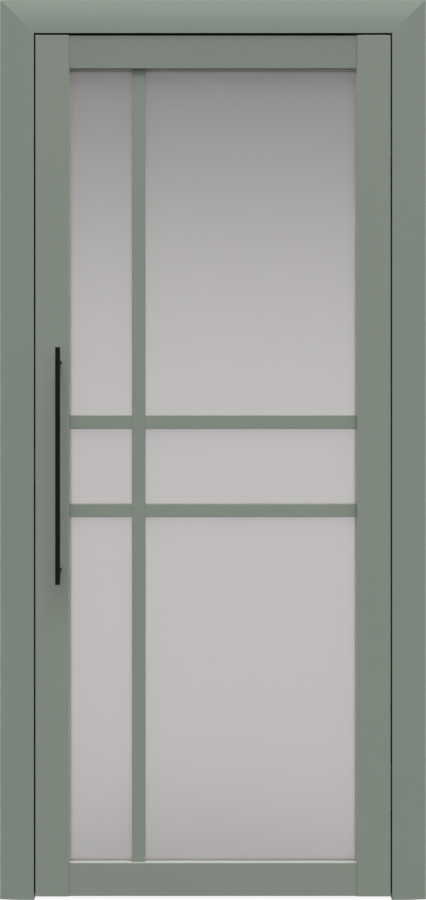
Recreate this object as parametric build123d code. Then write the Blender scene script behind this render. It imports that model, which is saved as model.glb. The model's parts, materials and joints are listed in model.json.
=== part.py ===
from build123d import *
from math import atan2, degrees, hypot
import os

# Glazed flush door with its frame and casings, in millimetres.
# X runs across the doorway, Y from the front of the set to its rear, Z up from the floor.
# Depths are counted from the front plane, where the casing and the leaf lie flush.

# Leaf and the gaps around it
LEAF_WIDTH = 825.0
LEAF_HEIGHT = 2000.0
LEAF_THICKNESS = 44.0
SIDE_GAP = 3.0
TOP_GAP = 4.0
FLOOR_GAP = 8.0

# Stiles and rails
STILE_WIDTH = 78.0
STILE_ROUND = 1.0
RAIL_WIDTH = 77.0
RAIL_SETBACK = 3.0
RAIL_ROUND = 0.8

# Glazing bars
BAR_WIDTH = 30.0
BAR_SETBACK = 10.0
BAR_ROUND = 0.8
UPRIGHT_OFFSET = 173.5
CROSS_BAR_SPACING = 206.0
CROSS_BAR_DROP = 1.2

# Groove, panes and gaskets
GROOVE_WIDTH = 12.0
GROOVE_DEPTH = 10.0
TONGUE_PLAY = 0.2
TONGUE_END_PLAY = 0.5
PANE_THICKNESS = 8.0
PANE_BITE = 8.0
GASKET_BASE = 1.5
GASKET_SETBACK = 0.5
GASKET_PLAY = 0.1

# Dowels between rails and stiles
DOWEL_RADIUS = 5.0
DOWEL_LENGTH = 70.0
DOWEL_SPACING = 34.0

# Pull handles, one on each face, back to back
HANDLE_LENGTH = 543.0
HANDLE_WIDTH = 10.0
HANDLE_DEPTH = 14.0
HANDLE_ROUND = 1.0
HANDLE_PROJECTION = 46.0
HANDLE_BACKSET = 57.0
POST_SPACING = 480.0
POST_RADIUS = 4.5
POST_SOCKET_DEPTH = 3.0
STUD_RADIUS = 2.5
STUD_GRIP = 16.0

# Frame members
JAMB_THICKNESS = 36.0
STOP_PROJECTION = 12.0
STOP_GAP = 4.0
STOP_ROUND = 2.0
WALL_THICKNESS = 100.0

# Casings
CASING_WIDTH = 80.0
CASING_THICKNESS = 15.0
CASING_FLAT = 10.0
CASING_DROP = 5.5
CASING_LIP = 6.0
CASING_EDGE_ROUND = 0.8
CASING_TONGUE = 5.0
CASING_TONGUE_INSET = 26.0
CASING_TONGUE_LENGTH = 12.0
CASING_TONGUE_SPARE = 2.0
CASING_PLAY = 0.3

# Seals
SEAL_WIDTH = 7.0
SEAL_STEM = 3.0
SEAL_STEM_LENGTH = 6.0
SEAL_BORE = 1.0
SEAL_CLEARANCE = 0.3

# Screws and bored holes
SCREW_PLAY = 0.1
CORNER_SCREW_RADIUS = 2.5
CORNER_SCREW_HEAD = 5.0
CORNER_SCREW_LENGTH = 70.0
CORNER_SCREW_RISE = 14.0
CORNER_SCREW_DEPTHS = (30.0, 95.0)
ANCHOR_HOLE_RADIUS = 4.0
ANCHOR_DEPTH = 27.0
ANCHOR_SPACINGS = (400.0, 1200.0)

# Magnetic catch in the edge of the leaf and its keep on the jamb
CATCH_PLATE_HEIGHT = 80.0
CATCH_PLATE_WIDTH = 22.0
CATCH_PLATE_THICKNESS = 2.5
CATCH_CASE_HEIGHT = 44.0
CATCH_CASE_WIDTH = 16.0
CATCH_CASE_DEPTH = 20.0
MAGNET_HEIGHT = 36.0
MAGNET_WIDTH = 10.0
MAGNET_DEPTH = 14.0
CATCH_SCREW_SPACING = 62.0
CATCH_SCREW_RADIUS = 1.75
CATCH_SCREW_HEAD = 3.5
CATCH_SCREW_LENGTH = 22.0

# Concealed hinges
HINGE_INSET = 250.0
HINGE_PIVOT_INSET = 5.5
HINGE_PIVOT_DEPTH = 13.5
HINGE_SLIDE_INSET = 15.5
HINGE_SLIDE_DEPTH = 33.5
HINGE_SWING = 90.0
ARM_WIDTH = 6.0
ARM_HEIGHT = 26.0
ARM_EYE_RADIUS = 4.0
ARM_TIP_RADIUS = 3.25
ARM_GAP = 0.5
ARM_CLEARANCE = 0.75
NEAR_KNEE_SHARES = (0.79, 1.55)
FAR_KNEE_SHARES = (0.18, 1.01)
PIVOT_PIN_RADIUS = 2.0
CROSS_PIN_RADIUS = 2.5
PIN_PLAY = 0.05
PIN_SEAT = 4.5
SLIDE_STUB = 4.0
SLIDE_PLAY = 0.2
HOUSING_WALL = 1.75
HOUSING_CHEEK = 6.0
HOUSING_ROUND = 6.0
FLANGE_HEIGHT = 114.0
FLANGE_THICKNESS = 2.5
MORTISE_PLAY = 0.1
HINGE_SCREW_SPACING = 90.0
HINGE_SCREW_RADIUS = 2.25
HINGE_SCREW_HEAD = 4.25
HINGE_SCREW_LENGTH = 32.0

# How far a cutting tool runs past the face that it cuts
OVERRUN = 5.0

# Places worked out from the sizes above
FRAME_DEPTH = WALL_THICKNESS + 2 * CASING_THICKNESS
FRONT_Y = (HANDLE_PROJECTION - FRAME_DEPTH) / 2
LEAF_EDGE_X = LEAF_WIDTH / 2
LEAF_TOP_Z = FLOOR_GAP + LEAF_HEIGHT
LEAF_MID_Y = FRONT_Y + LEAF_THICKNESS / 2
LEAF_MID_Z = FLOOR_GAP + LEAF_HEIGHT / 2
REBATE_X = LEAF_EDGE_X + SIDE_GAP
REBATE_Z = LEAF_TOP_Z + TOP_GAP
STOP_DEPTH = LEAF_THICKNESS + STOP_GAP
STILE_INNER_X = LEAF_EDGE_X - STILE_WIDTH
RAIL_LOW_Z = FLOOR_GAP + RAIL_WIDTH
RAIL_HIGH_Z = LEAF_TOP_Z - RAIL_WIDTH
RAIL_THICKNESS = LEAF_THICKNESS - 2 * RAIL_SETBACK
BAR_THICKNESS = LEAF_THICKNESS - 2 * BAR_SETBACK
TONGUE_THICKNESS = GROOVE_WIDTH - TONGUE_PLAY
TONGUE_LENGTH = GROOVE_DEPTH - TONGUE_END_PLAY
BAR_TONGUE_WIDTH = BAR_WIDTH - 2 * GROOVE_DEPTH
CROSS_BAR_MID_Z = LEAF_MID_Z - CROSS_BAR_DROP
CROSS_BAR_ZS = (CROSS_BAR_MID_Z - CROSS_BAR_SPACING / 2, CROSS_BAR_MID_Z + CROSS_BAR_SPACING / 2)
UPRIGHT_LEFT_X = -UPRIGHT_OFFSET - BAR_WIDTH / 2
UPRIGHT_RIGHT_X = -UPRIGHT_OFFSET + BAR_WIDTH / 2
HANDLE_X = -LEAF_EDGE_X + HANDLE_BACKSET
POST_ZS = (LEAF_MID_Z - POST_SPACING / 2, LEAF_MID_Z + POST_SPACING / 2)
ANCHOR_ZS = [LEAF_MID_Z + side * gap / 2 for gap in ANCHOR_SPACINGS for side in (-1, 1)]

# Hinge geometry: the leaf turns about a line in the front plane, midway across the side gap
HINGE_X = LEAF_EDGE_X + SIDE_GAP / 2
HINGE_ZS = {"top": LEAF_TOP_Z - HINGE_INSET, "bottom": FLOOR_GAP + HINGE_INSET}
MOUTH_X = SIDE_GAP / 2
PIVOT_X = MOUTH_X + HINGE_PIVOT_INSET
CROSS_DEPTH = 2 * HINGE_PIVOT_DEPTH
SLIDE_X = MOUTH_X + HINGE_SLIDE_INSET
ARM_TOP = ARM_GAP + ARM_HEIGHT
POCKET_FRONT = HINGE_PIVOT_DEPTH - ARM_EYE_RADIUS - ARM_CLEARANCE
POCKET_REAR = HINGE_SLIDE_DEPTH + ARM_TIP_RADIUS + ARM_CLEARANCE
POCKET_HALF_HEIGHT = ARM_TOP + ARM_GAP
POCKET_DEPTH = HINGE_SLIDE_INSET + ARM_TIP_RADIUS + ARM_CLEARANCE
HOUSING_WIDTH = POCKET_REAR - POCKET_FRONT + 2 * HOUSING_WALL
HOUSING_MID = (POCKET_FRONT + POCKET_REAR) / 2
HOUSING_HALF_HEIGHT = POCKET_HALF_HEIGHT + HOUSING_CHEEK
HOUSING_DEPTH = POCKET_DEPTH + HOUSING_WALL


def block(x_range, y_range, z_range):
    """A box between two values along each axis."""
    size = [high - low for low, high in (x_range, y_range, z_range)]
    middle = [(high + low) / 2 for low, high in (x_range, y_range, z_range)]
    return Pos(*middle) * Box(*size)


def spread(middle, width):
    """The two ends of a width about its middle."""
    return middle - width / 2, middle + width / 2


def rectangle_between(low, high):
    """A flat rectangle between two corners."""
    middle = ((low[0] + high[0]) / 2, (low[1] + high[1]) / 2)
    return Pos(*middle) * Rectangle(high[0] - low[0], high[1] - low[1])


def countersunk(head, shank, length, play):
    """A countersunk screw, or its hole, with its flat head at the origin and its tip up Z."""
    outline = Polyline(
        (0, 0),
        (head + play, 0),
        (shank + play, head - shank),
        (shank + play, length + play),
        (0, length + play),
        close=True,
    )
    return revolve(Plane.XZ * make_face(outline), axis=Axis.Z)


def group(solids):
    """Separate solids kept together in one node."""
    return Compound(children=list(solids))


# Frame: sections are drawn outwards from the rebate line and back from the front plane


def side_member(section):
    """The right-hand upright of a section, mitred at its upper end."""
    reach = section.bounding_box().max.X + OVERRUN
    foot = Plane(origin=(REBATE_X, FRONT_Y, 0), x_dir=(1, 0, 0), z_dir=(0, 0, 1))
    bar = extrude(foot * section, amount=REBATE_Z + reach)
    mitre = Plane(origin=(REBATE_X, FRONT_Y, REBATE_Z), z_dir=(-1, 0, 1))
    return split(bar, bisect_by=mitre, keep=Keep.BOTTOM)


def head_member(section):
    """The level length of a section across the top, mitred at both ends."""
    half = REBATE_X + section.bounding_box().max.X + OVERRUN
    end = Plane(origin=(half, FRONT_Y, REBATE_Z), x_dir=(0, 0, 1), z_dir=(-1, 0, 0))
    bar = extrude(end * section, amount=2 * half)
    for side in (-1, 1):
        mitre = Plane(origin=(side * REBATE_X, FRONT_Y, REBATE_Z), z_dir=(side, 0, -1))
        bar = split(bar, bisect_by=mitre, keep=Keep.BOTTOM)
    return bar


def mirrored(shape):
    """The left-hand copy of a right-hand piece."""
    return mirror(shape, about=Plane.YZ)


def jamb_section():
    """Rebated jamb with a stop, a groove for each casing tongue and one for the seal."""
    rear = FRAME_DEPTH - CASING_LIP
    outline = Polyline(
        (0, CASING_LIP),
        (JAMB_THICKNESS, CASING_LIP),
        (JAMB_THICKNESS, rear),
        (-STOP_PROJECTION, rear),
        (-STOP_PROJECTION, STOP_DEPTH),
        (0, STOP_DEPTH),
        close=True,
    )
    section = make_face(outline)
    stop_corner = section.vertices().sort_by_distance((-STOP_PROJECTION, STOP_DEPTH))[0]
    section = fillet(stop_corner, STOP_ROUND)
    tongue_depth = CASING_TONGUE_LENGTH + CASING_TONGUE_SPARE
    low, high = CASING_TONGUE_INSET - CASING_PLAY, CASING_TONGUE_INSET + CASING_TONGUE + CASING_PLAY
    section -= rectangle_between((low, CASING_LIP - OVERRUN), (high, CASING_LIP + tongue_depth))
    section -= rectangle_between((low, rear - tongue_depth), (high, rear + OVERRUN))
    left, right = spread(-STOP_PROJECTION / 2, SEAL_STEM + 2 * SEAL_CLEARANCE)
    seal_end = STOP_DEPTH + SEAL_STEM_LENGTH + SEAL_CLEARANCE
    section -= rectangle_between((left, STOP_DEPTH - OVERRUN), (right, seal_end))
    return section


def casing_section(inner):
    """Casing with a convex face, a lip over the jamb and a tongue, drawn for the front."""
    outer = inner + CASING_WIDTH
    lip_end = JAMB_THICKNESS + CASING_PLAY
    tongue_end = CASING_TONGUE_INSET + CASING_TONGUE
    tongue_tip = CASING_LIP + CASING_TONGUE_LENGTH
    face = Line((inner, 0), (inner + CASING_FLAT, 0))
    crown = TangentArc((inner + CASING_FLAT, 0), (outer, CASING_DROP), tangent=(1, 0))
    back = Polyline(
        (outer, CASING_DROP),
        (outer, CASING_THICKNESS),
        (lip_end, CASING_THICKNESS),
        (lip_end, CASING_LIP),
        (tongue_end, CASING_LIP),
        (tongue_end, tongue_tip),
        (CASING_TONGUE_INSET, tongue_tip),
        (CASING_TONGUE_INSET, CASING_LIP),
        (inner, CASING_LIP),
        (inner, 0),
    )
    section = make_face(face + crown + back)
    rounded = [section.vertices().sort_by_distance(p)[0] for p in ((inner, 0), (outer, CASING_DROP))]
    return fillet(rounded, CASING_EDGE_ROUND)


def to_rear(section):
    """A front section turned to face the rear of the frame."""
    return Pos(0, FRAME_DEPTH) * mirror(section, about=Plane.XZ)


def seal_section():
    """Hollow bulb seal on a stem that is pressed into the stop."""
    middle = -STOP_PROJECTION / 2
    left, right = spread(middle, SEAL_WIDTH)
    crest = LEAF_THICKNESS + SEAL_CLEARANCE
    base = STOP_DEPTH
    shoulder = (crest + base) / 2
    dome = ThreePointArc((left, shoulder), (middle, crest), (right, shoulder))
    foot = Polyline((right, shoulder), (right, base), (left, base), (left, shoulder))
    section = make_face(dome + foot)
    section -= Pos(middle, (crest + base) / 2) * Circle(SEAL_BORE)
    stem_left, stem_right = spread(middle, SEAL_STEM)
    section += rectangle_between((stem_left, base), (stem_right, base + SEAL_STEM_LENGTH))
    return section


def corner_screws(play):
    """Screws driven level through each jamb into the end of the head."""
    screw = countersunk(CORNER_SCREW_HEAD, CORNER_SCREW_RADIUS, CORNER_SCREW_LENGTH, play)
    places = []
    for depth in CORNER_SCREW_DEPTHS:
        for side in (-1, 1):
            start = (side * (REBATE_X + JAMB_THICKNESS), FRONT_Y + depth, REBATE_Z + CORNER_SCREW_RISE)
            places.append(Pos(*start) * Rot(0, -90 * side, 0) * screw)
    return places


def anchor_holes(side):
    """Bores through one jamb for the wall anchors."""
    length = JAMB_THICKNESS + 2 * OVERRUN
    middle = side * (REBATE_X + JAMB_THICKNESS / 2)
    bore = Rot(0, 90, 0) * Cylinder(ANCHOR_HOLE_RADIUS, length)
    return [Pos(middle, FRONT_Y + ANCHOR_DEPTH, z) * bore for z in ANCHOR_ZS]


# Leaf: stiles and rails share one groove, which takes panes and tongues alike


def groove_along_z(edge_x, inward, z_range):
    """The groove in an upright edge, cut from that edge in the direction given."""
    start, end = sorted((edge_x - inward * OVERRUN, edge_x + inward * GROOVE_DEPTH))
    return block((start, end), spread(LEAF_MID_Y, GROOVE_WIDTH), z_range)


def groove_along_x(edge_z, inward, x_range):
    """The groove in a level edge, cut from that edge in the direction given."""
    start, end = sorted((edge_z - inward * OVERRUN, edge_z + inward * GROOVE_DEPTH))
    return block(x_range, spread(LEAF_MID_Y, GROOVE_WIDTH), (start, end))


def stile(side):
    """Full-height upright with rounded edges and the glazing groove."""
    x_range = sorted((side * STILE_INNER_X, side * LEAF_EDGE_X))
    z_range = (FLOOR_GAP, LEAF_TOP_Z)
    upright = block(x_range, spread(LEAF_MID_Y, LEAF_THICKNESS), z_range)
    upright = fillet(upright.edges(), STILE_ROUND)
    groove_range = (FLOOR_GAP - OVERRUN, LEAF_TOP_Z + OVERRUN)
    return upright - groove_along_z(side * STILE_INNER_X, side, groove_range)


def rail(edge_z, inner_z, inward):
    """Level member between the stiles, with a tongue at each end and the glazing groove."""
    body = block(
        (-STILE_INNER_X, STILE_INNER_X),
        spread(LEAF_MID_Y, RAIL_THICKNESS),
        sorted((edge_z, inner_z)),
    )
    body = fillet(body.edges().filter_by(Axis.X), RAIL_ROUND)
    reach = STILE_INNER_X + TONGUE_LENGTH
    tongue_z = sorted((edge_z - inward * RAIL_ROUND, inner_z))
    body += block((-reach, reach), spread(LEAF_MID_Y, TONGUE_THICKNESS), tongue_z)
    return body - groove_along_x(inner_z, inward, (-reach - OVERRUN, reach + OVERRUN))


def upright_bar():
    """Glazing bar from rail to rail, grooved on both edges."""
    x_range = (UPRIGHT_LEFT_X, UPRIGHT_RIGHT_X)
    body = block(x_range, spread(LEAF_MID_Y, BAR_THICKNESS), (RAIL_LOW_Z, RAIL_HIGH_Z))
    body = fillet(body.edges().filter_by(Axis.Z), BAR_ROUND)
    tongue_z = (RAIL_LOW_Z - TONGUE_LENGTH, RAIL_HIGH_Z + TONGUE_LENGTH)
    tongue_x = spread(-UPRIGHT_OFFSET, BAR_TONGUE_WIDTH)
    body += block(tongue_x, spread(LEAF_MID_Y, TONGUE_THICKNESS), tongue_z)
    groove_z = (RAIL_LOW_Z - OVERRUN, RAIL_HIGH_Z + OVERRUN)
    body -= groove_along_z(UPRIGHT_LEFT_X, 1, groove_z)
    return body - groove_along_z(UPRIGHT_RIGHT_X, -1, groove_z)


def cross_bar(left, right, middle_z):
    """Short glazing bar between a stile and the upright bar."""
    body = block((left, right), spread(LEAF_MID_Y, BAR_THICKNESS), spread(middle_z, BAR_WIDTH))
    body = fillet(body.edges().filter_by(Axis.X), BAR_ROUND)
    tongue_x = (left - TONGUE_LENGTH, right + TONGUE_LENGTH)
    tongue_z = spread(middle_z, BAR_TONGUE_WIDTH)
    body += block(tongue_x, spread(LEAF_MID_Y, TONGUE_THICKNESS), tongue_z)
    groove_x = (left - OVERRUN, right + OVERRUN)
    body -= groove_along_x(middle_z - BAR_WIDTH / 2, 1, groove_x)
    return body - groove_along_x(middle_z + BAR_WIDTH / 2, -1, groove_x)


def grown(limits, amount):
    """A range made longer by the same amount at both ends."""
    return limits[0] - amount, limits[1] + amount


def pane(x_range, z_range):
    """Sheet of glass that reaches into the groove all round."""
    thickness = spread(LEAF_MID_Y, PANE_THICKNESS)
    return block(grown(x_range, PANE_BITE), thickness, grown(z_range, PANE_BITE))


def gasket(x_range, z_range):
    """Channel of soft plastic round the edge of a pane."""
    reach = PANE_BITE + GASKET_BASE
    width = spread(LEAF_MID_Y, GROOVE_WIDTH - 2 * GASKET_PLAY)
    ring = block(grown(x_range, reach), width, grown(z_range, reach))
    light = block(
        grown(x_range, GASKET_SETBACK),
        spread(LEAF_MID_Y, GROOVE_WIDTH + 2 * OVERRUN),
        grown(z_range, GASKET_SETBACK),
    )
    return ring - light - pane(x_range, z_range)


def dowels(play):
    """Pins across the joints between rails and stiles."""
    pin = Rot(0, 90, 0) * Cylinder(DOWEL_RADIUS + play, DOWEL_LENGTH + 2 * play)
    low_middle = (FLOOR_GAP + RAIL_LOW_Z - GROOVE_DEPTH) / 2
    high_middle = (LEAF_TOP_Z + RAIL_HIGH_Z + GROOVE_DEPTH) / 2
    rows = [z for middle in (low_middle, high_middle) for z in spread(middle, DOWEL_SPACING)]
    return [Pos(side * STILE_INNER_X, LEAF_MID_Y, z) * pin for z in rows for side in (-1, 1)]


# Pull handles


def handle_bar(face_y, outward):
    """Slim upright bar with eased edges and a shallow seat for each post."""
    front = face_y + outward * HANDLE_PROJECTION
    back = front - outward * HANDLE_DEPTH
    bar = block(
        spread(HANDLE_X, HANDLE_WIDTH),
        sorted((front, back)),
        spread(LEAF_MID_Z, HANDLE_LENGTH),
    )
    bar = fillet(bar.edges().filter_by(Axis.Z), HANDLE_ROUND)
    seat = Rot(90, 0, 0) * Cylinder(POST_RADIUS + PIN_PLAY, 2 * POST_SOCKET_DEPTH)
    for z in POST_ZS:
        bar -= Pos(HANDLE_X, back, z) * seat
    return bar


def handle_post(face_y, outward, z):
    """Round post between the leaf and the bar, bored for the stud."""
    length = HANDLE_PROJECTION - HANDLE_DEPTH + POST_SOCKET_DEPTH - PIN_PLAY
    post = Cylinder(POST_RADIUS, length, align=(Align.CENTER, Align.CENTER, Align.MIN))
    bore_length = STUD_GRIP + SCREW_PLAY
    bore = Cylinder(STUD_RADIUS + SCREW_PLAY, 2 * bore_length)
    return Pos(HANDLE_X, face_y, z) * Rot(-90 * outward, 0, 0) * (post - bore)


def handle_studs(play):
    """Threaded rods through the stile, which join the two handles."""
    rod = Rot(90, 0, 0) * Cylinder(STUD_RADIUS + play, LEAF_THICKNESS + 2 * STUD_GRIP)
    return [Pos(HANDLE_X, LEAF_MID_Y, z) * rod for z in POST_ZS]


# Magnetic catch, drawn at the origin with its plate facing -X and its case towards +X


def edge_plane(x, y):
    """A drawing plane across X, with depth along its first axis and height along its second."""
    return Plane(origin=(x, y, 0), x_dir=(0, 1, 0), z_dir=(1, 0, 0))


def catch_plate(play):
    """Round-ended plate, let in flush."""
    outline = SlotOverall(CATCH_PLATE_HEIGHT + 2 * play, CATCH_PLATE_WIDTH + 2 * play, rotation=90)
    return extrude(edge_plane(0, 0) * outline, amount=CATCH_PLATE_THICKNESS)


def catch_case_body(play):
    """The box behind the plate that holds the magnet."""
    height = spread(0, CATCH_CASE_HEIGHT + 2 * play)
    return block((0, CATCH_CASE_DEPTH + play), spread(0, CATCH_CASE_WIDTH + 2 * play), height)


def magnet(play):
    """Magnet that shows in the face of the plate."""
    height = spread(0, MAGNET_HEIGHT + 2 * play)
    return block((0, MAGNET_DEPTH + play), spread(0, MAGNET_WIDTH + 2 * play), height)


def catch_screws(play):
    """The pair of screws that holds a catch plate."""
    screw = Rot(0, 90, 0) * countersunk(CATCH_SCREW_HEAD, CATCH_SCREW_RADIUS, CATCH_SCREW_LENGTH, play)
    return [Pos(0, 0, z) * screw for z in spread(0, CATCH_SCREW_SPACING)]


def holes_cut(shape, tools):
    """A shape less a list of cutting tools."""
    for tool in tools:
        shape -= tool
    return shape


def catch_case():
    """Plate and case in one casting, with a pocket for the magnet."""
    body = catch_plate(0) + catch_case_body(0) - magnet(MORTISE_PLAY)
    return holes_cut(body, catch_screws(SCREW_PLAY))


def catch_keep():
    """Steel plate that the magnet holds to."""
    return holes_cut(catch_plate(0), catch_screws(SCREW_PLAY))


# Concealed hinge, drawn about its turning line, with the frame on the +X side


def arm_points():
    """Pivot, knees, crossing and slide of the frame arm with the door shut."""
    near = (PIVOT_X * NEAR_KNEE_SHARES[0], HINGE_PIVOT_DEPTH * NEAR_KNEE_SHARES[1])
    far = (-SLIDE_X * FAR_KNEE_SHARES[0], HINGE_SLIDE_DEPTH * FAR_KNEE_SHARES[1])
    return [
        (PIVOT_X, HINGE_PIVOT_DEPTH),
        near,
        (0, CROSS_DEPTH),
        far,
        (-SLIDE_X, HINGE_SLIDE_DEPTH),
    ]


def link(start, end, width):
    """A straight length of an arm between two points, with round ends."""
    run = (end[0] - start[0], end[1] - start[1])
    middle = ((start[0] + end[0]) / 2, (start[1] + end[1]) / 2)
    turn = degrees(atan2(run[1], run[0]))
    return Pos(*middle) * Rot(0, 0, turn) * SlotCenterToCenter(hypot(*run), width)


def arm_outline():
    """Cranked outline with an eye at the pivot, the crossing and the slide."""
    points = arm_points()
    pivot, cross, slide = points[::2]
    outline = Pos(*pivot) * Circle(ARM_EYE_RADIUS)
    outline += Pos(*cross) * Circle(ARM_EYE_RADIUS)
    outline += Pos(*slide) * Circle(ARM_TIP_RADIUS)
    for start, end in zip(points, points[1:]):
        outline += link(start, end, ARM_WIDTH)
    return outline


def pin_between(place, radius, low, high):
    """An upright pin, or its bore, between two heights."""
    return Pos(place[0], place[1], (low + high) / 2) * Cylinder(radius, high - low)


def hinge_arm(carries_cross_pin):
    """Upper arm with its slide stub, and the crossing pin or the bore that it runs in."""
    pivot, cross, slide = arm_points()[::2]
    arm = extrude(Pos(0, 0, ARM_GAP) * arm_outline(), amount=ARM_HEIGHT)
    arm -= pin_between(pivot, PIVOT_PIN_RADIUS + PIN_PLAY, ARM_GAP - OVERRUN, ARM_TOP + OVERRUN)
    arm += pin_between(slide, PIVOT_PIN_RADIUS, ARM_GAP, ARM_TOP + SLIDE_STUB)
    if carries_cross_pin:
        return arm + pin_between(cross, CROSS_PIN_RADIUS, -ARM_TOP, ARM_TOP)
    return arm - pin_between(cross, CROSS_PIN_RADIUS + PIN_PLAY, ARM_GAP - OVERRUN, ARM_TOP + OVERRUN)


def housing_outline(play):
    """Flange and body of a housing, or the mortise for it."""
    mouth = edge_plane(MOUTH_X, HOUSING_MID)
    flange = SlotOverall(FLANGE_HEIGHT + 2 * play, HOUSING_WIDTH + 2 * play, rotation=90)
    body = RectangleRounded(HOUSING_WIDTH + 2 * play, 2 * (HOUSING_HALF_HEIGHT + play), HOUSING_ROUND)
    plate = extrude(mouth * flange, amount=FLANGE_THICKNESS)
    return plate + extrude(mouth * body, amount=HOUSING_DEPTH + play)


def slide_slot():
    """Curved slot in the lower cheek for the slide stub of the other arm."""
    start = degrees(atan2(HINGE_PIVOT_DEPTH, -PIVOT_X))
    centre = (SLIDE_X + PIVOT_X, HINGE_SLIDE_DEPTH - HINGE_PIVOT_DEPTH)
    path = CenterArc(centre, hypot(PIVOT_X, HINGE_PIVOT_DEPTH), start, HINGE_SWING)
    slot = SlotArc(path, 2 * (PIVOT_PIN_RADIUS + SLIDE_PLAY))
    bottom = POCKET_HALF_HEIGHT + SLIDE_STUB
    return extrude(Pos(0, 0, -bottom) * slot, amount=bottom)


def hinge_screws(play):
    """The pair of screws through the flange of a housing."""
    screw = Rot(0, 90, 0) * countersunk(HINGE_SCREW_HEAD, HINGE_SCREW_RADIUS, HINGE_SCREW_LENGTH, play)
    return [Pos(MOUTH_X, HOUSING_MID, z) * screw for z in spread(0, HINGE_SCREW_SPACING)]


def pivot_pin(play):
    """Fixed pin from the upper cheek down through the arm."""
    place = (PIVOT_X, HINGE_PIVOT_DEPTH)
    return pin_between(place, PIVOT_PIN_RADIUS + play, ARM_GAP, POCKET_HALF_HEIGHT + PIN_SEAT + play)


def hinge_housing():
    """Cast housing with an open pocket for both arms, a pivot bore and a slide slot."""
    housing = housing_outline(0)
    pocket = block(
        (MOUTH_X - OVERRUN, MOUTH_X + POCKET_DEPTH),
        (POCKET_FRONT, POCKET_REAR),
        (-POCKET_HALF_HEIGHT, POCKET_HALF_HEIGHT),
    )
    housing = housing - pocket - slide_slot() - pivot_pin(PIN_PLAY)
    return holes_cut(housing, hinge_screws(SCREW_PLAY))


def on_frame(shape, z):
    """A hinge piece set in place on the frame."""
    return Pos(HINGE_X, FRONT_Y, z) * shape


def on_leaf(shape, z):
    """The same piece turned over for the leaf."""
    return Pos(HINGE_X, FRONT_Y, z) * Rot(0, 180, 0) * shape


def catch_on_leaf(shape):
    """A catch piece set in the edge of the leaf."""
    return Pos(-LEAF_EDGE_X, LEAF_MID_Y, LEAF_MID_Z) * shape


def catch_on_jamb(shape):
    """A catch piece set in the jamb, facing the leaf."""
    return Pos(-REBATE_X, LEAF_MID_Y, LEAF_MID_Z) * Rot(0, 180, 0) * shape


# Pieces of the set, by node name


def frame_nodes():
    """Jambs, head, casings, seals and their screws."""
    right_jamb = side_member(jamb_section())
    corner_cuts = corner_screws(SCREW_PLAY)
    lock_cuts = corner_cuts + anchor_holes(-1) + [catch_on_jamb(catch_plate(MORTISE_PLAY))]
    lock_cuts += [catch_on_jamb(hole) for hole in catch_screws(SCREW_PLAY)]
    hinge_cuts = corner_cuts + anchor_holes(1)
    for z in HINGE_ZS.values():
        hinge_cuts.append(on_frame(housing_outline(MORTISE_PLAY), z))
        hinge_cuts += [on_frame(hole, z) for hole in hinge_screws(SCREW_PLAY)]
    nodes = {
        "jamb_lock_side": holes_cut(mirrored(right_jamb), lock_cuts),
        "jamb_hinge_side": holes_cut(right_jamb, hinge_cuts),
        "frame_head": holes_cut(head_member(jamb_section()), corner_cuts),
        "frame_corner_screws": group(corner_screws(0)),
        "catch_keep": catch_on_jamb(catch_keep()),
        "catch_keep_screws": group(catch_on_jamb(screw) for screw in catch_screws(0)),
    }
    perimeter = {
        "casing_front": casing_section(0),
        "casing_rear": to_rear(casing_section(-STOP_PROJECTION)),
        "seal": seal_section(),
    }
    for name, section in perimeter.items():
        right = side_member(section)
        nodes[name + "_right"] = right
        nodes[name + "_left"] = mirrored(right)
        nodes[name + "_head"] = head_member(section)
    return nodes


def leaf_nodes():
    """Stiles, rails, glazing bars and dowels."""
    dowel_cuts = dowels(PIN_PLAY)
    lock_cuts = dowel_cuts + handle_studs(SCREW_PLAY)
    lock_cuts += [catch_on_leaf(catch_plate(MORTISE_PLAY)), catch_on_leaf(catch_case_body(MORTISE_PLAY))]
    lock_cuts += [catch_on_leaf(hole) for hole in catch_screws(SCREW_PLAY)]
    hinge_cuts = list(dowel_cuts)
    for z in HINGE_ZS.values():
        hinge_cuts.append(on_leaf(housing_outline(MORTISE_PLAY), z))
        hinge_cuts += [on_leaf(hole, z) for hole in hinge_screws(SCREW_PLAY)]
    nodes = {
        "stile_lock_side": holes_cut(stile(-1), lock_cuts),
        "stile_hinge_side": holes_cut(stile(1), hinge_cuts),
        "rail_top": holes_cut(rail(LEAF_TOP_Z, RAIL_HIGH_Z, 1), dowel_cuts),
        "rail_bottom": holes_cut(rail(FLOOR_GAP, RAIL_LOW_Z, -1), dowel_cuts),
        "glazing_bar_upright": upright_bar(),
        "rail_dowels": group(dowels(0)),
    }
    for level, z in zip(("lower", "upper"), CROSS_BAR_ZS):
        nodes[f"glazing_bar_{level}_left"] = cross_bar(-STILE_INNER_X, UPRIGHT_LEFT_X, z)
        nodes[f"glazing_bar_{level}_right"] = cross_bar(UPRIGHT_RIGHT_X, STILE_INNER_X, z)
    return nodes


def glazing_nodes():
    """Six panes, each in its gasket."""
    half = BAR_WIDTH / 2
    columns = {
        "left": (-STILE_INNER_X, UPRIGHT_LEFT_X),
        "right": (UPRIGHT_RIGHT_X, STILE_INNER_X),
    }
    rows = {
        "lower": (RAIL_LOW_Z, CROSS_BAR_ZS[0] - half),
        "middle": (CROSS_BAR_ZS[0] + half, CROSS_BAR_ZS[1] - half),
        "upper": (CROSS_BAR_ZS[1] + half, RAIL_HIGH_Z),
    }
    nodes = {}
    gaskets = []
    for row, z_range in rows.items():
        for column, x_range in columns.items():
            nodes[f"pane_{row}_{column}"] = pane(x_range, z_range)
            gaskets.append(gasket(x_range, z_range))
    nodes["glazing_gaskets"] = group(gaskets)
    return nodes


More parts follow.
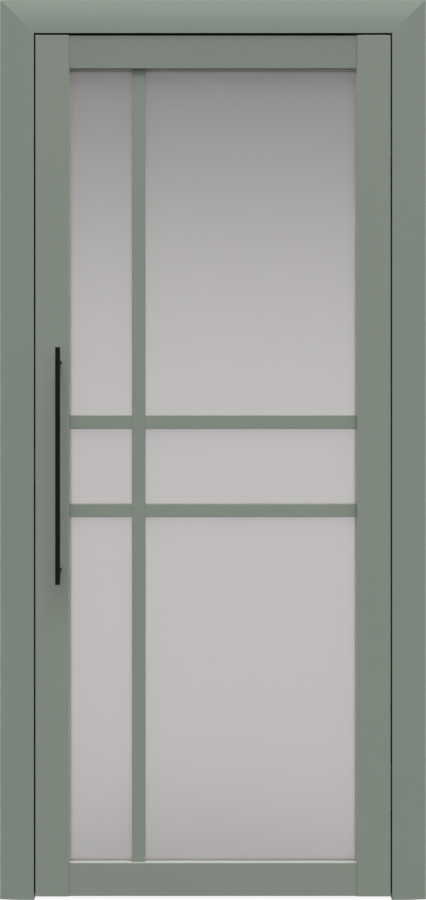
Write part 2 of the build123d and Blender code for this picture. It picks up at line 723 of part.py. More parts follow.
def handle_nodes():
    """Front and rear pull, their posts and the studs between them."""
    front, rear = FRONT_Y, FRONT_Y + LEAF_THICKNESS
    return {
        "handle_bar_front": handle_bar(front, -1),
        "handle_bar_rear": handle_bar(rear, 1),
        "handle_posts_front": group(handle_post(front, -1, z) for z in POST_ZS),
        "handle_posts_rear": group(handle_post(rear, 1, z) for z in POST_ZS),
        "handle_studs": group(handle_studs(0)),
    }


def catch_nodes():
    """Catch in the edge of the leaf."""
    return {
        "catch_case": catch_on_leaf(catch_case()),
        "catch_magnet": catch_on_leaf(magnet(0)),
        "catch_screws": group(catch_on_leaf(screw) for screw in catch_screws(0)),
    }


def hinge_nodes():
    """Housings, arms, pins and screws of both hinges."""
    nodes = {}
    for name, z in HINGE_ZS.items():
        nodes[f"hinge_{name}_frame_housing"] = on_frame(hinge_housing(), z)
        nodes[f"hinge_{name}_leaf_housing"] = on_leaf(hinge_housing(), z)
        nodes[f"hinge_{name}_frame_arm"] = on_frame(hinge_arm(True), z)
        nodes[f"hinge_{name}_leaf_arm"] = on_leaf(hinge_arm(False), z)
    heights = HINGE_ZS.values()
    nodes["hinge_frame_pins"] = group(on_frame(pivot_pin(0), z) for z in heights)
    nodes["hinge_leaf_pins"] = group(on_leaf(pivot_pin(0), z) for z in heights)
    nodes["hinge_frame_screws"] = group(on_frame(s, z) for z in heights for s in hinge_screws(0))
    nodes["hinge_leaf_screws"] = group(on_leaf(s, z) for z in heights for s in hinge_screws(0))
    return nodes


os.makedirs("parts", exist_ok=True)
for make_nodes in (frame_nodes, leaf_nodes, glazing_nodes, handle_nodes, catch_nodes, hinge_nodes):
    for name, shape in make_nodes().items():
        export_step(shape, f"parts/{name}.step")
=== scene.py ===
import json
import math

import bmesh
import bpy
from mathutils import Matrix, Vector


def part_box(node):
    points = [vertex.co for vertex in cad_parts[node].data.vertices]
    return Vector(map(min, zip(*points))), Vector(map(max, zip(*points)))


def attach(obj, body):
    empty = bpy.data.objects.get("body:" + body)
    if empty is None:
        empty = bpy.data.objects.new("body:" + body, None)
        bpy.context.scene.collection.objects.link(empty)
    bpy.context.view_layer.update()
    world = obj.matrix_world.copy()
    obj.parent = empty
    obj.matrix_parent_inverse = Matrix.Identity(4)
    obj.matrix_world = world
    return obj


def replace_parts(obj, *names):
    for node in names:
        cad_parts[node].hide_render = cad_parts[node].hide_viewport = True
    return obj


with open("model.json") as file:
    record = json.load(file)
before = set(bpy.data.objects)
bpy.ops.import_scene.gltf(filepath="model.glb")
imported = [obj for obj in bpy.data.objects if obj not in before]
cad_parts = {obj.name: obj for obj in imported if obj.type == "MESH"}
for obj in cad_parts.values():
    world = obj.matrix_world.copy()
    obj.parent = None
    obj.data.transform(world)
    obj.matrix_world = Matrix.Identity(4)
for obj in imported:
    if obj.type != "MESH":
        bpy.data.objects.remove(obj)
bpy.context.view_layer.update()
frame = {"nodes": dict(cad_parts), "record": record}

# Lengths are in metres and angles in degrees.

nodes = frame["nodes"]
scene = bpy.context.scene
scene.view_settings.view_transform = "Standard"


# Node helpers


def add_node(tree, kind, **settings):
    """A new node with its properties set by name."""
    node = tree.nodes.new(kind)
    for name, value in settings.items():
        setattr(node, name, value)
    return node


def give(tree, socket, value):
    """A value linked to a socket, or set on it where it is plain."""
    if isinstance(value, bpy.types.NodeSocket):
        tree.links.new(value, socket)
    else:
        socket.default_value = value


def feed(tree, node, **inputs):
    """Set or link a node's inputs, named with underscores for spaces."""
    for name, value in inputs.items():
        give(tree, node.inputs[name.replace("_", " ")], value)
    return node


def calculate(tree, operation, *values):
    """A math node on values, linked or plain."""
    node = add_node(tree, "ShaderNodeMath", operation=operation)
    for socket, value in zip(node.inputs, values):
        give(tree, socket, value)
    return node.outputs["Value"]


def remap(tree, value, low, high):
    """A value from 0 to 1 moved into another range."""
    node = add_node(tree, "ShaderNodeMapRange")
    return feed(tree, node, Value=value, To_Min=low, To_Max=high).outputs["Result"]


def split_axes(tree, vector):
    """The X, Y and Z of a vector."""
    return feed(tree, add_node(tree, "ShaderNodeSeparateXYZ"), Vector=vector).outputs


def add_noise(tree, **inputs):
    """Noise from 0 to 1."""
    return feed(tree, add_node(tree, "ShaderNodeTexNoise"), **inputs).outputs["Fac"]


def stretched_noise(tree, vector, stretch, **inputs):
    """Noise on coordinates that are scaled along each axis."""
    mapping = feed(tree, add_node(tree, "ShaderNodeMapping"), Vector=vector, Scale=stretch)
    return add_noise(tree, Vector=mapping.outputs["Vector"], **inputs)


def mix_colour(tree, share, first, second):
    """Two colours, linked or plain, mixed by a share."""
    mix = add_node(tree, "ShaderNodeMix", data_type="RGBA")
    for socket, value in zip((mix.inputs[0], mix.inputs[6], mix.inputs[7]), (share, first, second)):
        give(tree, socket, (*value, 1.0) if isinstance(value, tuple) else value)
    return mix.outputs[2]


def shade_by(tree, colour, tone):
    """A colour made lighter or darker by a tone about one."""
    mix = add_node(tree, "ShaderNodeMix", data_type="RGBA", blend_type="MULTIPLY")
    mix.inputs["Factor"].default_value = 1.0
    mix.inputs[6].default_value = (*colour, 1.0)
    tree.links.new(tone, mix.inputs[7])
    return mix.outputs[2]


def bump(tree, height, **depth):
    """A bump normal from a height."""
    return feed(tree, add_node(tree, "ShaderNodeBump"), Height=height, **depth).outputs["Normal"]


# Effects that several finishes share

PATCH_SCALE = 14.0
SHEEN_RANGE = (0.3, 0.7)


def new_group(name, inputs, outputs):
    """An empty shader node group with float or vector inputs and outputs."""
    group = bpy.data.node_groups.new(name, "ShaderNodeTree")
    for socket_name, kind, value in inputs:
        socket = group.interface.new_socket(socket_name, in_out="INPUT", socket_type=kind)
        if value is not None:
            socket.default_value = value
    for socket_name, kind in outputs:
        group.interface.new_socket(socket_name, in_out="OUTPUT", socket_type=kind)
    return group, add_node(group, "NodeGroupInput"), add_node(group, "NodeGroupOutput")


def spread_sheen(group, noise, given):
    """Noise spread between the low and the high sheen that a group is given."""
    sheen = add_node(group, "ShaderNodeMapRange")
    feed(group, sheen, Value=noise, From_Min=SHEEN_RANGE[0], From_Max=SHEEN_RANGE[1],
         To_Min=given.outputs["Sheen Low"], To_Max=given.outputs["Sheen High"])
    return sheen.outputs["Result"]


def film_group():
    """Sprayed film: slow drift of tone, a fine orange peel and a patchy sheen."""
    group, given, made = new_group(
        "sprayed film",
        [
            ("Vector", "NodeSocketVector", None),
            ("Drift Scale", "NodeSocketFloat", 3.0),
            ("Drift", "NodeSocketFloat", 0.03),
            ("Peel Scale", "NodeSocketFloat", 600.0),
            ("Sheen Low", "NodeSocketFloat", 0.4),
            ("Sheen High", "NodeSocketFloat", 0.5),
        ],
        [("Tone", "NodeSocketFloat"), ("Roughness", "NodeSocketFloat"), ("Peel", "NodeSocketFloat")],
    )
    vector = given.outputs["Vector"]
    drift = add_noise(group, Vector=vector, Scale=given.outputs["Drift Scale"], Detail=3.0, Roughness=0.55)
    centred = calculate(group, "SUBTRACT", drift, 0.5)
    tone = calculate(group, "MULTIPLY_ADD", centred, given.outputs["Drift"], 1.0)
    peel = add_noise(group, Vector=vector, Scale=given.outputs["Peel Scale"], Detail=2.0)
    patch = add_noise(group, Vector=vector, Scale=PATCH_SCALE, Detail=4.0)
    feed(group, made, Tone=tone, Roughness=spread_sheen(group, patch, given), Peel=peel)
    return group


def grain_group():
    """Fine metal grain drawn out along one axis, with a grain height and a sheen."""
    group, given, made = new_group(
        "drawn grain",
        [
            ("Vector", "NodeSocketVector", None),
            ("Stretch", "NodeSocketVector", (1.0, 1.0, 0.05)),
            ("Scale", "NodeSocketFloat", 900.0),
            ("Sheen Low", "NodeSocketFloat", 0.28),
            ("Sheen High", "NodeSocketFloat", 0.42),
        ],
        [("Grain", "NodeSocketFloat"), ("Roughness", "NodeSocketFloat")],
    )
    grain = stretched_noise(group, given.outputs["Vector"], given.outputs["Stretch"],
                            Scale=given.outputs["Scale"], Detail=3.0)
    feed(group, made, Grain=grain, Roughness=spread_sheen(group, grain, given))
    return group


def outline_group():
    """One outside an upright outline about the middle of the doorway, and nought inside it."""
    group, given, made = new_group(
        "beyond outline",
        [
            ("Vector", "NodeSocketVector", None),
            ("Half Width", "NodeSocketFloat", 0.4),
            ("Bottom", "NodeSocketFloat", 0.0),
            ("Top", "NodeSocketFloat", 2.0),
        ],
        [("Outside", "NodeSocketFloat")],
    )
    axes = split_axes(group, given.outputs["Vector"])
    across = calculate(group, "ABSOLUTE", axes["X"])
    outside = calculate(group, "GREATER_THAN", across, given.outputs["Half Width"])
    for operation, limit in (("LESS_THAN", "Bottom"), ("GREATER_THAN", "Top")):
        beyond = calculate(group, operation, axes["Z"], given.outputs[limit])
        outside = calculate(group, "MAXIMUM", outside, beyond)
    feed(group, made, Outside=outside)
    return group


FILM = film_group()
GRAIN = grain_group()
OUTLINE = outline_group()


# Finishes

# The frame's sage is a little darker than the leaf's sage: painted shade on one paint.
FRAME_SAGE_SHADED = (0.197, 0.231, 0.193)
LEAF_SAGE = (0.206, 0.239, 0.201)
# The top rail's sage is darker, as painted shade, and the bottom rail's lighter, as painted light.
TOP_RAIL_SAGE_SHADED = (0.188, 0.217, 0.184)
BOTTOM_RAIL_SAGE_LIT = (0.214, 0.245, 0.209)
# Black painted on the gap faces of the leaf, jambs and casings: painted shade in the gap round the leaf.
GAP_SHADE_BLACK = (0.006, 0.007, 0.006)
GLASS_TINT = (0.605, 0.582, 0.582)
POWDER_BLACK = (0.005, 0.007, 0.0045)
SEAL_BLACK = (0.022, 0.023, 0.022)
# Three tones of one bead: grey darkened where strong light falls, white lightened where shade falls, pale
# between; painted light and shade.
BEAD_GREY_DARKENED_FOR_LIGHT = (0.295, 0.295, 0.278)
BEAD_PALE_BETWEEN_LIGHT_AND_SHADE = (0.38, 0.38, 0.364)
BEAD_WHITE_LIGHTENED_FOR_SHADE = (0.8, 0.8, 0.775)
BEECH = (0.52, 0.36, 0.21)

PAINT_FILM = {"Drift_Scale": 2.5, "Drift": 0.04, "Peel_Scale": 520.0, "Sheen_Low": 0.44, "Sheen_High": 0.54}
GLASS_FILM = {"Drift_Scale": 1.2, "Drift": 0.03, "Peel_Scale": 1800.0, "Sheen_Low": 0.35, "Sheen_High": 0.39}
POWDER_FILM = {"Drift_Scale": 8.0, "Drift": 0.2, "Peel_Scale": 1400.0, "Sheen_Low": 0.42, "Sheen_High": 0.58}
SEAL_FILM = {"Drift_Scale": 20.0, "Drift": 0.5, "Peel_Scale": 1500.0, "Sheen_Low": 0.62, "Sheen_High": 0.82}
BEAD_FILM = {"Drift_Scale": 30.0, "Drift": 0.12, "Peel_Scale": 900.0, "Sheen_Low": 0.4, "Sheen_High": 0.55}

PAINT_PEEL = {"Strength": 0.12, "Distance": 0.0002}
GLASS_TOOTH = {"Strength": 0.08, "Distance": 0.0001}
POWDER_SAND = {"Strength": 0.35, "Distance": 0.0003}
SEAL_BLOOM = {"Strength": 0.2, "Distance": 0.0002}
BEAD_PEEL = {"Strength": 0.1, "Distance": 0.0002}

DIE_CASTING = {"colour": (0.52, 0.52, 0.51), "stretch": (1.0, 1.0, 1.0), "scale": 1300.0,
               "sheen": (0.34, 0.5), "strength": 0.2}
MAGNET = {"colour": (0.11, 0.11, 0.115), "stretch": (1.0, 1.0, 0.1), "scale": 700.0,
          "sheen": (0.3, 0.5), "strength": 0.15}
ZINC_STEEL = {"colour": (0.6, 0.61, 0.63), "stretch": (1.0, 1.0, 0.06), "scale": 1100.0,
              "sheen": (0.24, 0.4), "strength": 0.12}
METAL_TONE = (0.86, 1.08)
METAL_DEPTH = 0.0002

FIBRE_SCALE = 700.0
FIBRE_STRETCH = (0.06, 1.0, 1.0)
FIBRE_TONE = (0.7, 1.2)
FIBRE_SHEEN = (0.55, 0.75)
FIBRE_RIDGE = {"Strength": 0.25, "Distance": 0.0003}

LEAF_LOW, LEAF_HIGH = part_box("stile_lock_side")[0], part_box("stile_hinge_side")[1]
REBATE_LEFT, REBATE_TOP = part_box("casing_front_left")[1].x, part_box("casing_front_head")[0].z
GAP_SHADE_REACH = 0.0035
GAP_SHADE_MARGIN = 0.0004


def start_material(name, **shader_values):
    """A material with object coordinates and its shader's plain values set."""
    material = bpy.data.materials.new(name)
    material.use_nodes = True
    tree = material.node_tree
    shader = feed(tree, tree.nodes["Principled BSDF"], **shader_values)
    place = add_node(tree, "ShaderNodeTexCoord").outputs["Object"]
    return material, tree, shader, place


def use_group(tree, group, **inputs):
    """A shared effect placed in a material with its own values."""
    return feed(tree, add_node(tree, "ShaderNodeGroup", node_tree=group), **inputs).outputs


def filmed(name, colour, film_values, peel, **shader_values):
    """A material with the tone, sheen and fine bump of a sprayed film."""
    material, tree, shader, place = start_material(name, **shader_values)
    film = use_group(tree, FILM, Vector=place, **film_values)
    paint = shade_by(tree, colour, film["Tone"])
    feed(tree, shader, Base_Color=paint, Roughness=film["Roughness"], Normal=bump(tree, film["Peel"], **peel))
    return material, tree, shader, place, paint


def satin_paint(name, colour):
    """Sprayed satin paint on board, ready for black painted as shade in the gap round the leaf."""
    return filmed(name, colour, PAINT_FILM, PAINT_PEEL, Specular_IOR_Level=0.4)


def frame_paint():
    """Sage paint on the rear casings, a little darker than the leaf's as painted shade."""
    return satin_paint("sage paint on frame darkened as painted shade", FRAME_SAGE_SHADED)[0]


def leaf_paint(name, colour):
    """Sage paint on a board of the leaf, with black painted on the leaf's outer edges as shade in the gap round
    the leaf.
    """
    material, tree, shader, place, paint = satin_paint(name, colour)
    # The black band on the leaf's outer edges is painted shade for the gap.
    edge = use_group(tree, OUTLINE, Vector=place, Half_Width=LEAF_HIGH.x - GAP_SHADE_MARGIN,
                     Bottom=LEAF_LOW.z + GAP_SHADE_MARGIN, Top=LEAF_HIGH.z - GAP_SHADE_MARGIN)
    feed(tree, shader, Base_Color=mix_colour(tree, edge["Outside"], paint, GAP_SHADE_BLACK))
    return material


def jamb_paint_with_gap_shade():
    """Sage paint on the jambs, the head and the front casings, with the rebate and the casings' inner edges
    painted black as shade in the gap round the leaf.
    """
    material, tree, shader, place, paint = satin_paint("shaded sage paint on jambs with black gap shade", FRAME_SAGE_SHADED)
    rebate = use_group(tree, OUTLINE, Vector=place, Half_Width=GAP_SHADE_MARGIN - REBATE_LEFT,
                       Bottom=-GAP_SHADE_MARGIN, Top=REBATE_TOP + GAP_SHADE_MARGIN)
    inside = calculate(tree, "SUBTRACT", 1.0, rebate["Outside"])
    front = calculate(tree, "LESS_THAN", split_axes(tree, place)["Y"], LEAF_HIGH.y + GAP_SHADE_REACH)
    share = calculate(tree, "MULTIPLY", inside, front)
    feed(tree, shader, Base_Color=mix_colour(tree, share, paint, GAP_SHADE_BLACK))
    return material


def etched_glass():
    """Satin etched glass with a fine tooth."""
    return filmed("etched glass", GLASS_TINT, GLASS_FILM, GLASS_TOOTH,
                  IOR=1.5, Transmission_Weight=0.86, Specular_IOR_Level=0.5)[0]


def powder_coat():
    """Matt black powder coat with a fine sand texture."""
    return filmed("black powder coat", POWDER_BLACK, POWDER_FILM, POWDER_SAND, Specular_IOR_Level=0.06)[0]


def soft_rubber():
    """Matt extruded rubber with a chalky bloom."""
    return filmed("soft rubber", SEAL_BLACK, SEAL_FILM, SEAL_BLOOM, Specular_IOR_Level=0.3)[0]


def pale_silicone(name, colour):
    """Pale half-clear silicone of the glazing gaskets and beads."""
    return filmed(name, colour, BEAD_FILM, BEAD_PEEL, Specular_IOR_Level=0.4)[0]


def bright_metal(name, colour, stretch, scale, sheen, strength):
    """Metal with a drawn or cast grain."""
    material, tree, shader, place = start_material(name, Metallic=1.0)
    grain = use_group(tree, GRAIN, Vector=place, Stretch=stretch, Scale=scale,
                      Sheen_Low=sheen[0], Sheen_High=sheen[1])
    tone = remap(tree, grain["Grain"], *METAL_TONE)
    feed(tree, shader, Base_Color=shade_by(tree, colour, tone), Roughness=grain["Roughness"],
         Normal=bump(tree, grain["Grain"], Strength=strength, Distance=METAL_DEPTH))
    return material


def bare_beech():
    """Bare beech with grain along the dowel."""
    material, tree, shader, place = start_material("bare beech", Specular_IOR_Level=0.3)
    fibre = stretched_noise(tree, place, FIBRE_STRETCH, Scale=FIBRE_SCALE, Detail=4.0)
    tone = remap(tree, fibre, *FIBRE_TONE)
    feed(tree, shader, Base_Color=shade_by(tree, BEECH, tone), Roughness=remap(tree, fibre, *FIBRE_SHEEN),
         Normal=bump(tree, fibre, **FIBRE_RIDGE))
    return material


finishes = {
    "frame_paint": frame_paint(),
    "leaf_paint": leaf_paint("sage paint on leaf", LEAF_SAGE),
    "frosted_glass": etched_glass(),
    "black_handle": powder_coat(),
    "soft_seal": soft_rubber(),
    # The glazing gaskets take the grey bead tone, darkened against the strong light as painted shade.
    "pale_gasket": pale_silicone("grey bead darkened for light", BEAD_GREY_DARKENED_FOR_LIGHT),
    "beech_dowel": bare_beech(),
    "cast_housing": bright_metal("satin die casting", **DIE_CASTING),
    "magnet_face": bright_metal("dark magnet", **MAGNET),
    "plain_steel": bright_metal("bright zinc steel", **ZINC_STEEL),
}
for part in frame["record"]["subparts"]:
    mesh = nodes[part["node"]].data
    mesh.materials.clear()
    mesh.materials.append(finishes[part["material_slot"]])
# The jambs, the head and the front casings take the rebate painted black, painted shade for the gap.
gap_shaded_jamb_finish = jamb_paint_with_gap_shade()
jambs_with_gap_shade = ("jamb_lock_side", "jamb_hinge_side", "frame_head")
casings_with_gap_shade = ("casing_front_left", "casing_front_right", "casing_front_head")
for name in jambs_with_gap_shade + casings_with_gap_shade:
    nodes[name].data.materials[0] = gap_shaded_jamb_finish
# The top rail takes a darker sage as painted shade, and the bottom rail a lighter sage as painted light.
nodes["rail_top"].data.materials[0] = leaf_paint("sage paint on top rail darkened as painted shade", TOP_RAIL_SAGE_SHADED)
nodes["rail_bottom"].data.materials[0] = leaf_paint("sage paint on bottom rail lightened as painted light", BOTTOM_RAIL_SAGE_LIT)


# New pieces


def add_object(name, shape, finish):
    """A finished mesh as an object in the scene."""
    mesh = bpy.data.meshes.new(name)
    shape.to_mesh(mesh)
    shape.free()
    mesh.materials.append(finish)
    made = bpy.data.objects.new(name, mesh)
    scene.collection.objects.link(made)
    return made


def add_piece(name, shape, body, finish):
    """A finished mesh as a piece that rides on a body."""
    piece = add_object(name, shape, finish)
    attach(piece, body)
    return piece


# Beads that line the reveals on both faces of each pane

PANE_BITE = 0.008
BEAD_THICKNESS = 0.0008
BEAD_SETBACK = 0.0009
TOP_BEAD_SETBACK = 0.011
BEAD_EDGE = 0.0002
GLASS_CLEARANCE = 0.0002


def add_strip(shape, low, high):
    """A straight bead between two corners, with its edges eased."""
    corners = bmesh.ops.create_cube(shape, size=1.0)["verts"]
    bmesh.ops.scale(shape, vec=high - low, verts=corners)
    bmesh.ops.translate(shape, vec=(low + high) / 2, verts=corners)
    edges = list({link for corner in corners for link in corner.link_edges})
    bmesh.ops.bevel(shape, geom=edges, offset=BEAD_EDGE, affect="EDGES", segments=2, profile=0.5, material=-1)


def neighbours(row, column):
    """The members to the left and right of a pane, below it and above it."""
    sides = {
        "left": ("stile_lock_side", "glazing_bar_upright"),
        "right": ("glazing_bar_upright", "stile_hinge_side"),
    }
    ends = {
        "lower": ("rail_bottom", f"glazing_bar_lower_{column}"),
        "middle": (f"glazing_bar_lower_{column}", f"glazing_bar_upper_{column}"),
        "upper": (f"glazing_bar_upper_{column}", "rail_top"),
    }
    return sides[column] + ends[row]


def bead_depths(pane_low, pane_high, member):
    """Front and rear stretch of depth that a bead covers on one member, less in front under the top rail, where
    the white strip on the half next to the glass is painted light in the shade.
    """
    low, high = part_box(member)
    setback = TOP_BEAD_SETBACK if member == "rail_top" else BEAD_SETBACK
    front = (low.y + setback, pane_low.y - GLASS_CLEARANCE)
    rear = (pane_high.y + GLASS_CLEARANCE, high.y - BEAD_SETBACK)
    return front, rear


def glazing_beads():
    """Thin strips on the walls round each pane in three tones of one bead, painted light and shade: grey on the
    lit front sills, white on the shaded tops and rear walls, pale on the front walls and rear sills.
    """
    greys_darkened_for_light, pales_for_half_shade, whites_lightened_for_shade = bmesh.new(), bmesh.new(), bmesh.new()
    for row in ("lower", "middle", "upper"):
        for column in ("left", "right"):
            low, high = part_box(f"pane_{row}_{column}")
            left, right = low.x + PANE_BITE, high.x - PANE_BITE
            bottom, top = low.z + PANE_BITE, high.z - PANE_BITE
            inner_left, inner_right = left + BEAD_THICKNESS, right - BEAD_THICKNESS
            # Each strip gives its front and rear tone, darker where light falls and lighter where shade falls:
            # painted light and shade.
            strips = (
                ((pales_for_half_shade, whites_lightened_for_shade), left, inner_left, bottom, top),
                ((pales_for_half_shade, whites_lightened_for_shade), inner_right, right, bottom, top),
                ((greys_darkened_for_light, pales_for_half_shade), inner_left, inner_right, bottom, bottom + BEAD_THICKNESS),
                ((whites_lightened_for_shade, whites_lightened_for_shade), inner_left, inner_right, top - BEAD_THICKNESS, top),
            )
            for member, (shapes, x_low, x_high, z_low, z_high) in zip(neighbours(row, column), strips):
                for shape, (y_low, y_high) in zip(shapes, bead_depths(low, high, member)):
                    add_strip(shape, Vector((x_low, y_low, z_low)), Vector((x_high, y_high, z_high)))
    # The three bead meshes carry the painted light and shade tones.
    add_piece("glazing_beads_grey_for_light", greys_darkened_for_light, "leaf", finishes["pale_gasket"])
    add_piece("glazing_beads_pale_for_half_shade", pales_for_half_shade, "leaf", pale_silicone("pale bead for half shade", BEAD_PALE_BETWEEN_LIGHT_AND_SHADE))
    add_piece("glazing_beads_white_for_shade", whites_lightened_for_shade, "leaf", pale_silicone("white bead lightened for shade", BEAD_WHITE_LIGHTENED_FOR_SHADE))


glazing_beads()


# Cross-recessed screws with rolled threads, in place of the plain ones

HINGE_SCREW = {"head": 0.00425, "shank": 0.00225, "length": 0.032}
CATCH_SCREW = {"head": 0.0035, "shank": 0.00175, "length": 0.022}
CORNER_SCREW = {"head": 0.005, "shank": 0.0025, "length": 0.070}
HINGE_SCREW_SPACING = 0.09
RECESS_REACH = 0.55
RECESS_DEPTH = 0.8
RECESS_TAPER = 0.55
RIM_CUTS = 2
CORE_SHARE = 0.7
POINT_RADIUS = 0.0002
POINT_LENGTH = 0.004
THREAD_PITCH = 0.0017
THREAD_ROOT = 0.0002
THREAD_STEPS = 12
SCREW_TWIST = 25.0


def draw_ring(shape, ring, radius, height):
    """A ring of edges drawn on to a new radius and height."""
    made = bmesh.ops.extrude_edge_only(shape, edges=ring)["geom"]
    for corner in (item for item in made if isinstance(item, bmesh.types.BMVert)):
        corner.co = Vector((*(corner.co.xy.normalized() * radius), height))
    return [item for item in made if isinstance(item, bmesh.types.BMEdge) and item.is_boundary]


def cut_recess(shape, head, depth):
    """A flat plate with a tapered cross sunk in it, and its outline."""
    reach = RECESS_REACH * head
    bmesh.ops.create_grid(shape, x_segments=3, y_segments=3, size=reach)
    cross = [face for face in shape.faces if min(map(abs, face.calc_center_median().xy)) < reach / 3]
    sunk = bmesh.ops.extrude_face_region(shape, geom=cross)["geom"]
    bmesh.ops.delete(shape, geom=cross, context="FACES")
    floor = [item for item in sunk if isinstance(item, bmesh.types.BMVert)]
    bmesh.ops.scale(shape, vec=(RECESS_TAPER, RECESS_TAPER, 1.0), verts=floor)
    bmesh.ops.translate(shape, vec=(0.0, 0.0, -depth), verts=floor)
    rim = [edge for edge in shape.edges if edge.is_boundary]
    bmesh.ops.subdivide_edges(shape, edges=rim, cuts=RIM_CUTS)
    return [edge for edge in shape.edges if edge.is_boundary]


def roll_thread(shape, root, crest, start, stop):
    """A ridge wound down the core of a screw."""
    turns = int((start - stop) / THREAD_PITCH)
    profile = ((root, start), (crest, start - THREAD_PITCH / 4), (root, start - THREAD_PITCH / 2))
    corners = [shape.verts.new((radius, 0.0, height)) for radius, height in profile]
    edges = [shape.edges.new((corners[place - 1], corners[place])) for place in range(len(corners))]
    bmesh.ops.spin(shape, geom=corners + edges, cent=(0.0, 0.0, 0.0), axis=(0.0, 0.0, 1.0),
                   dvec=(0.0, 0.0, -THREAD_PITCH / THREAD_STEPS), angle=turns * math.tau,
                   steps=turns * THREAD_STEPS, use_merge=False)
    bmesh.ops.holes_fill(shape, edges=[edge for edge in shape.edges if edge.is_boundary])


def cross_screw(head, shank, length):
    """One countersunk screw with its head up at the origin."""
    shape = bmesh.new()
    core = CORE_SHARE * shank
    ring = cut_recess(shape, head, RECESS_DEPTH * (head - shank))
    stop = POINT_LENGTH - length
    for radius, height in ((head, 0.0), (core, core - head), (core, stop), (POINT_RADIUS, -length)):
        ring = draw_ring(shape, ring, radius, height)
    bmesh.ops.holes_fill(shape, edges=ring)
    roll_thread(shape, core - THREAD_ROOT, shank, core - head - THREAD_PITCH, stop)
    bmesh.ops.recalc_face_normals(shape, faces=shape.faces)
    pattern = bpy.data.meshes.new("screw_pattern")
    shape.to_mesh(pattern)
    shape.free()
    return pattern


def set_screws(node, body, screw, places):
    """Screws in place of a node, each at a point and driven one way or the other along X."""
    pattern = cross_screw(**screw)
    shape = bmesh.new()
    for count, (point, driven) in enumerate(places):
        shape.from_mesh(pattern)
        laid = Matrix.Rotation(-driven * math.pi / 2, 4, "Y")
        twisted = Matrix.Rotation(math.radians(SCREW_TWIST * count), 4, "Z")
        corners = list(shape.verts)[-len(pattern.vertices):]
        bmesh.ops.transform(shape, matrix=Matrix.Translation(point) @ laid @ twisted, verts=corners)
    bpy.data.meshes.remove(pattern)
    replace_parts(add_piece(f"{node}_crossed", shape, body, finishes["plain_steel"]), node)


def edge_screws(node, body, screw, driven, spacing):
    """Screws one above another in the edge of the leaf or in a jamb."""
    low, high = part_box(node)
    bottom, top = low.z + screw["head"], high.z - screw["head"]
    heights = sorted({bottom, bottom + spacing, top - spacing, top}) if spacing else (bottom, top)
    face = low.x if driven > 0 else high.x
    set_screws(node, body, screw, [(Vector((face, (low.y + high.y) / 2, height)), driven) for height in heights])


def corner_screws():
    """Screws through both jambs into the ends of the head."""
    low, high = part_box("frame_corner_screws")
    depths = (low.y + CORNER_SCREW["head"], high.y - CORNER_SCREW["head"])
    rise = (low.z + high.z) / 2
    faces = ((low.x, 1), (high.x, -1))
    places = [(Vector((face, depth, rise)), driven) for face, driven in faces for depth in depths]
    set_screws("frame_corner_screws", "frame", CORNER_SCREW, places)


edge_screws("hinge_frame_screws", "frame", HINGE_SCREW, 1, HINGE_SCREW_SPACING)
edge_screws("hinge_leaf_screws", "leaf", HINGE_SCREW, -1, HINGE_SCREW_SPACING)
edge_screws("catch_screws", "leaf", CATCH_SCREW, 1, None)
edge_screws("catch_keep_screws", "frame", CATCH_SCREW, -1, None)
corner_screws()


# Floor and surroundings

WHITE = (1.0, 1.0, 1.0)
FLOOR_SIZE = 80.0
FLOOR_GLOW = 0.93
FLOOR_GLOW_IN_GLASS = 0.45
FLOOR_DIM_IN_GLASS = 0.83
FLOOR_SHADE = 0.335
FLOOR_BOUNCE = 0.06
AMBIENT = 0.09
SKY_TOP = 0.06
SKY_BAND = (0.09, 0.36)


def seen_by(tree, *rays):
    """One for the kinds of ray named, and nought for the rest."""
    path = add_node(tree, "ShaderNodeLightPath")
    shown = path.outputs[rays[0]]
    for name in rays[1:]:
        shown = calculate(tree, "MAXIMUM", shown, path.outputs[name])
    return shown


def floor_paint():
    """White to the eye, a little dimmer through glass, and dark enough in shade to keep a faint shadow."""
    material, tree, shader, _ = start_material("pale floor", Roughness=0.9)
    bounce = remap(tree, seen_by(tree, "Is Diffuse Ray"), FLOOR_SHADE, FLOOR_BOUNCE)
    feed(tree, shader, Base_Color=shade_by(tree, WHITE, bounce))
    dim = remap(tree, seen_by(tree, "Is Transmission Ray"), 1.0, FLOOR_DIM_IN_GLASS)
    glow = feed(tree, add_node(tree, "ShaderNodeEmission"), Color=(*WHITE, 1.0), Strength=dim)
    seen = seen_by(tree, "Is Camera Ray", "Is Glossy Ray", "Is Transmission Ray")
    share = remap(tree, seen_by(tree, "Is Transmission Ray"), FLOOR_GLOW, FLOOR_GLOW_IN_GLASS)
    mix = feed(tree, add_node(tree, "ShaderNodeMixShader"), Fac=calculate(tree, "MULTIPLY", seen, share))
    tree.links.new(shader.outputs["BSDF"], mix.inputs[1])
    tree.links.new(glow.outputs["Emission"], mix.inputs[2])
    feed(tree, tree.nodes["Material Output"], Surface=mix.outputs["Shader"])
    return material


def pale_floor():
    """Plain pale floor."""
    shape = bmesh.new()
    bmesh.ops.create_grid(shape, x_segments=1, y_segments=1, size=FLOOR_SIZE / 2)
    add_object("studio_floor", shape, floor_paint())


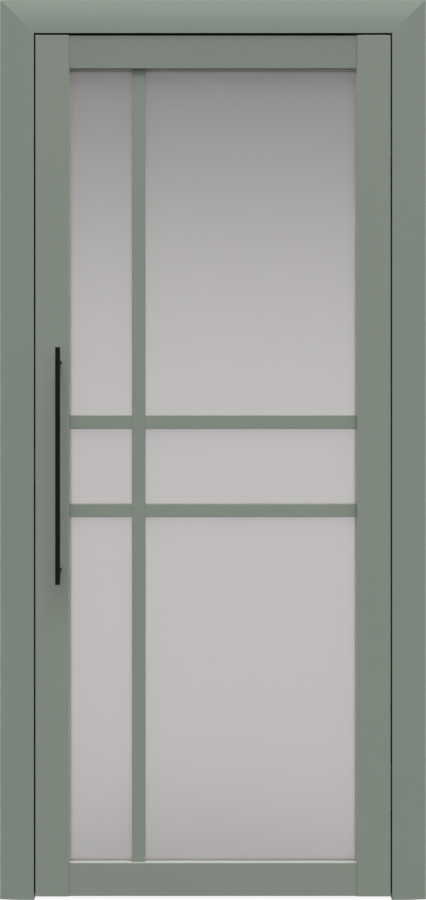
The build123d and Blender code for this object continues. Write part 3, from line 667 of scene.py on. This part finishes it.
def surroundings():
    """White to the eye, greyer overhead in glass and metal, and a low even light on the object."""
    world = bpy.data.worlds.new("studio")
    world.use_nodes = True
    scene.world = world
    tree = world.node_tree
    height = split_axes(tree, add_node(tree, "ShaderNodeTexCoord").outputs["Generated"])["Z"]
    fade = add_node(tree, "ShaderNodeMapRange", interpolation_type="SMOOTHSTEP")
    feed(tree, fade, Value=height, From_Min=SKY_BAND[0], From_Max=SKY_BAND[1], To_Min=1.0, To_Max=SKY_TOP)
    mirrored = seen_by(tree, "Is Glossy Ray", "Is Transmission Ray")
    light = remap(tree, mirrored, AMBIENT, fade.outputs["Result"])
    strength = calculate(tree, "MAXIMUM", light, seen_by(tree, "Is Camera Ray"))
    feed(tree, tree.nodes["Background"], Color=(*WHITE, 1.0), Strength=strength)


pale_floor()
surroundings()


# Light

KEY = {"elevation": 50.0, "azimuth": 5.0, "spread": 66.0, "strength": 1.1}
TOP = {"elevation": 75.0, "azimuth": 5.0, "spread": 38.0, "strength": 4.6}
FILL = {"elevation": 14.0, "azimuth": 0.0, "spread": 120.0, "strength": 0.2}
REAR = {"elevation": 55.0, "azimuth": 176.0, "spread": 100.0, "strength": 4.0}
LEFT = {"elevation": 12.0, "azimuth": 277.0, "spread": 40.0, "strength": 0.9}
RIGHT = {"elevation": 12.0, "azimuth": 83.0, "spread": 40.0, "strength": 0.9}


def far_light(name, elevation, azimuth, spread, strength):
    """Broad soft light from far off, so that it is even from top to bottom."""
    data = bpy.data.lights.new(name, "SUN")
    data.energy = strength
    data.angle = math.radians(spread)
    lamp = bpy.data.objects.new(name, data)
    lamp.visible_transmission = False
    scene.collection.objects.link(lamp)
    rise, turn = math.radians(elevation), math.radians(azimuth)
    away = Vector((math.cos(rise) * math.sin(turn), -math.cos(rise) * math.cos(turn), math.sin(rise)))
    lamp.rotation_euler = (-away).to_track_quat("-Z", "Y").to_euler()


far_light("key_light", **KEY)
far_light("top_light", **TOP)
far_light("front_fill", **FILL)
far_light("rear_fill", **REAR)
far_light("left_fill", **LEFT)
far_light("right_fill", **RIGHT)


# Camera at the photograph's place

CAMERA_DISTANCE = 2.8
CAMERA_HEIGHT = 1.0445
VIEW_HEIGHT = 2.0889
SENSOR = 36.0

camera_data = bpy.data.cameras.new("camera")
camera_data.sensor_width = SENSOR
camera_data.lens = SENSOR * CAMERA_DISTANCE / VIEW_HEIGHT
camera = bpy.data.objects.new("camera", camera_data)
scene.collection.objects.link(camera)
camera.location = (0.0, LEAF_LOW.y - CAMERA_DISTANCE, CAMERA_HEIGHT)
camera.rotation_euler = (math.pi / 2, 0.0, 0.0)
scene.camera = camera
